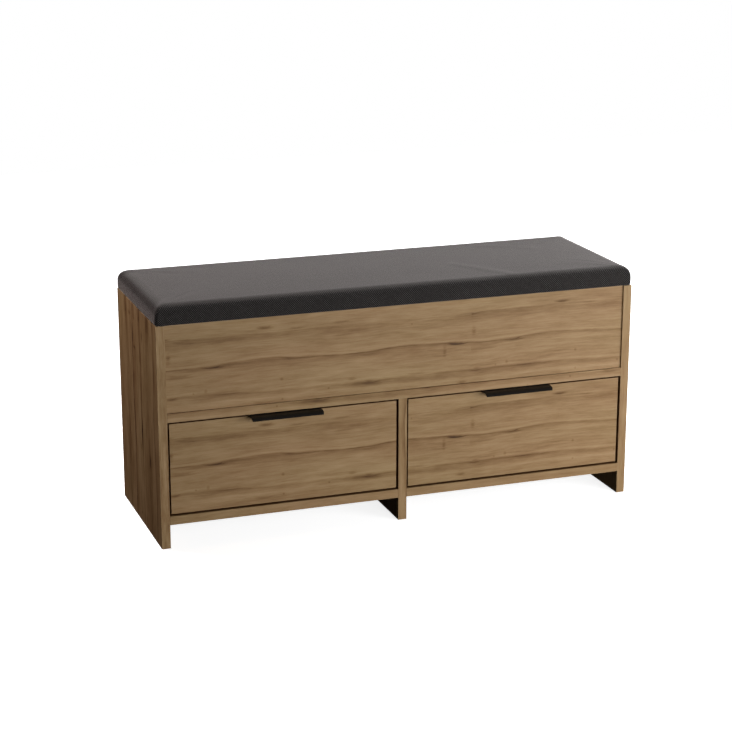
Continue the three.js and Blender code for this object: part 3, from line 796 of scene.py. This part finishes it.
def make_seat():
    low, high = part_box("seat_cover")
    middle = (low + high) / 2
    size = high - low
    piece = link_mesh("seat_upholstery", hull_of("seat_cover", "seat_upholstery"))
    remesh = piece.modifiers.new("remesh", "REMESH")
    remesh.mode = "VOXEL"
    remesh.voxel_size = VOXEL
    apply_modifiers(piece)
    coords = coords_of(piece.data)
    for axis in (0, 1):
        shrink = 1 - 2 * START_INSET / size[axis]
        coords[:, axis] = middle[axis] + (coords[:, axis] - middle[axis]) * shrink
    coords[:, 2] = low.z + (coords[:, 2] - low.z) * (1 - TOP_DROP / size.z)
    set_coords(piece.data, coords)
    inflate(piece, low.z + HELD_HEIGHT)
    coords = coords_of(piece.data)
    for point in coords:
        upper = min(max((point[2] - high.z + FOLD_FADE_LOW) / FOLD_FADE_DEPTH, 0), 1)
        point[2] += upper * fold_height(point, middle)
        if point[2] < low.z + MM:
            point[2] = low.z - CLOTH_THICKNESS
    set_coords(piece.data, coords)

    # The underside is open inside the turned-in hem.
    bm = bmesh.new()
    bm.from_mesh(piece.data)

    def inside_hem(face):
        centre = face.calc_center_median()
        within = all(low[axis] + HEM_WIDTH < centre[axis] < high[axis] - HEM_WIDTH for axis in (0, 1))
        return within and centre.z < low.z + 2 * MM

    bmesh.ops.delete(bm, geom=[face for face in bm.faces if inside_hem(face)], context="FACES")
    bm.to_mesh(piece.data)
    bm.free()
    for polygon in piece.data.polygons:
        polygon.use_smooth = True
    shell = piece.modifiers.new("thickness", "SOLIDIFY")
    shell.thickness = CLOTH_THICKNESS
    shell.offset = -1
    finer = piece.modifiers.new("finer", "SUBSURF")
    finer.levels = finer.render_levels = 1
    apply_modifiers(piece)
    piece.data.materials.clear()
    piece.data.materials.append(finishes["fabric"])
    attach(piece, "lid")
    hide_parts("seat_cover", "seat_foam")


# ---- Fasteners ----

LEAF_THICK = 1.5 * MM
BRACKET_THICK = 2.2 * MM
HEAD_RADIUS = 2.6 * MM
HEAD_PROUD = 0.5 * MM
HEAD_CROSS = (0.55, 0.15)  # the cross recess: length and half width of an arm, against the radius
NAIL_CORNERS = 12
NAIL_RADIUS = 1.5 * MM
NAIL_PROUD = 0.4 * MM
NAIL_INSET = 8 * MM
NAIL_PITCH = 0.11
STAPLE_LENGTH = 11 * MM
STAPLE_WIRE = 1.1 * MM
STAPLE_PROUD = 0.15 * MM
STAPLE_INSET = 14 * MM
STAPLE_PITCH = 0.045
# Where the screws sit, in millimetres from the middle of their leaf or bracket.
BODY_LEAF_SCREWS = [(-20, 7), (20, 7), (0, 18)]  # across, and up from the leaf's lower edge
SIDE_BRACKET_SCREWS = (-15, 15)
LID_LEAF_SCREWS = (-20, 0, 20)
LID_BRACKET_SCREWS = (-7, 7)
LID_LEAF_INSET = 8 * MM
LID_BRACKET_INSET = 6 * MM
UP, BACKWARD, ACROSS = Vector((0, 0, 1)), Vector((0, 1, 0)), Vector((1, 0, 0))


def place_at(centre, outward, along):
    """A frame at centre whose Z points outward and whose X runs along."""
    turn = Matrix((along, outward.cross(along), outward)).transposed().to_4x4()
    return Matrix.Translation(centre) @ turn


def loft(bm, place, levels):
    """A solid through a stack of outlines, each with its height."""
    rings = [
        [bm.verts.new(place @ Vector((*point, height))) for point in outline]
        for outline, height in levels
    ]
    for lower, upper in zip(rings, rings[1:]):
        for i in range(len(lower)):
            j = (i + 1) % len(lower)
            bm.faces.new((lower[i], lower[j], upper[j], upper[i]))
    bm.faces.new(rings[-1])
    bm.faces.new(rings[0][::-1])


def screw_head(bm, centre, outward, along):
    """A low head with a cross recess."""
    arm, half = (share * HEAD_RADIUS for share in HEAD_CROSS)
    cross = []
    for turn in range(4):
        spin = Matrix.Rotation(turn * math.pi / 2, 2)
        cross += [spin @ Vector(corner) for corner in ((arm, half), (half, half), (half, arm))]
    rim = [point.normalized() * HEAD_RADIUS for point in cross]
    top = [point * 0.85 for point in rim]
    floor = [point * 0.8 for point in cross]
    levels = [(rim, 0), (top, HEAD_PROUD), (cross, HEAD_PROUD), (floor, 0.2 * HEAD_PROUD)]
    loft(bm, place_at(centre, outward, along), levels)


def nail_head(bm, centre, outward, along):
    turns = [2 * math.pi * i / NAIL_CORNERS for i in range(NAIL_CORNERS)]
    rim = [(math.cos(turn) * NAIL_RADIUS, math.sin(turn) * NAIL_RADIUS) for turn in turns]
    top = [(x * 0.7, y * 0.7) for x, y in rim]
    loft(bm, place_at(centre, outward, along), [(rim, 0), (top, NAIL_PROUD)])


def staple(bm, centre, outward, along):
    length, width = STAPLE_LENGTH / 2, STAPLE_WIRE / 2
    foot = [(length, -width), (length, width), (-length, width), (-length, -width)]
    crown = [(x * 0.94, y * 0.5) for x, y in foot]
    loft(bm, place_at(centre, outward, along), [(foot, 0), (crown, STAPLE_PROUD)])


def fastener_piece(name, bm, body):
    bmesh.ops.recalc_face_normals(bm, faces=bm.faces)
    mesh = bpy.data.meshes.new(name)
    bm.to_mesh(mesh)
    bm.free()
    mesh.materials.append(finishes["zinc"])
    piece = link_mesh(name, mesh)
    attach(piece, body)


def make_screws(side, sign):
    """The screws of one side's hinge and strut; sign is -1 on the left and 1 on the right."""
    body = bmesh.new()
    low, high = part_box(f"{side}_hinge_body_leaf")
    middle = (low + high) / 2
    for across, up in BODY_LEAF_SCREWS:
        centre = Vector((middle.x + across * MM, low.y + LEAF_THICK, low.z + up * MM))
        screw_head(body, centre, BACKWARD, ACROSS)
    low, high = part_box(f"{side}_strut_side_bracket")
    middle = (low + high) / 2
    face = (high.x if sign > 0 else low.x) - sign * BRACKET_THICK
    for up in SIDE_BRACKET_SCREWS:
        screw_head(body, Vector((face, middle.y, middle.z + up * MM)), -sign * ACROSS, BACKWARD)
    fastener_piece(f"{side}_body_screws", body, "carcass")

    lid = bmesh.new()
    low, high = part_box(f"{side}_hinge_lid_leaf")
    middle = (low + high) / 2
    for across in LID_LEAF_SCREWS:
        centre = Vector((middle.x + across * MM, low.y + LID_LEAF_INSET, high.z - LEAF_THICK))
        screw_head(lid, centre, -UP, ACROSS)
    low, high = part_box(f"{side}_strut_lid_bracket")
    middle = (low + high) / 2
    outer = (high.x if sign > 0 else low.x) - sign * LID_BRACKET_INSET
    for forward in LID_BRACKET_SCREWS:
        centre = Vector((outer, middle.y + forward * MM, high.z - LEAF_THICK))
        screw_head(lid, centre, -UP, ACROSS)
    fastener_piece(f"{side}_lid_screws", lid, "lid")


def evenly(start, end, pitch):
    count = max(round((end - start) / pitch), 1)
    return [start + (end - start) * i / count for i in range(count + 1)]


def make_nails():
    """The back panel is nailed round its edge and along the storage floor."""
    bm = bmesh.new()
    low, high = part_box("back_panel")
    left, right = low.x + NAIL_INSET, high.x - NAIL_INSET
    bottom, top = low.z + NAIL_INSET, high.z - NAIL_INSET
    floor_low, floor_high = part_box("storage_floor")
    rows = (bottom, (floor_low.z + floor_high.z) / 2, top)
    spots = [(x, z) for z in rows for x in evenly(left, right, NAIL_PITCH)]
    spots += [(x, z) for x in (left, right) for z in evenly(bottom, top, NAIL_PITCH)[1:-1]]
    for x, z in spots:
        nail_head(bm, Vector((x, high.y, z)), BACKWARD, ACROSS)
    fastener_piece("back_panel_nails", bm, "carcass")


def make_staples():
    """The fabric's hem is stapled up under the lid."""
    bm = bmesh.new()
    low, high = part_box("seat_cover")
    z = low.z - CLOTH_THICKNESS
    left, right = low.x + STAPLE_INSET, high.x - STAPLE_INSET
    front, back = low.y + STAPLE_INSET, high.y - STAPLE_INSET
    for x in evenly(left, right, STAPLE_PITCH)[1:-1]:
        for y in (front, back):
            staple(bm, Vector((x, y, z)), -UP, ACROSS)
    for y in evenly(front, back, STAPLE_PITCH)[1:-1]:
        for x in (left, right):
            staple(bm, Vector((x, y, z)), -UP, BACKWARD)
    fastener_piece("hem_staples", bm, "lid")


make_camera()
make_studio()
finishes = make_materials()
dress_frame()
make_seat()
make_screws("left", -1)
make_screws("right", 1)
make_nails()
make_staples()
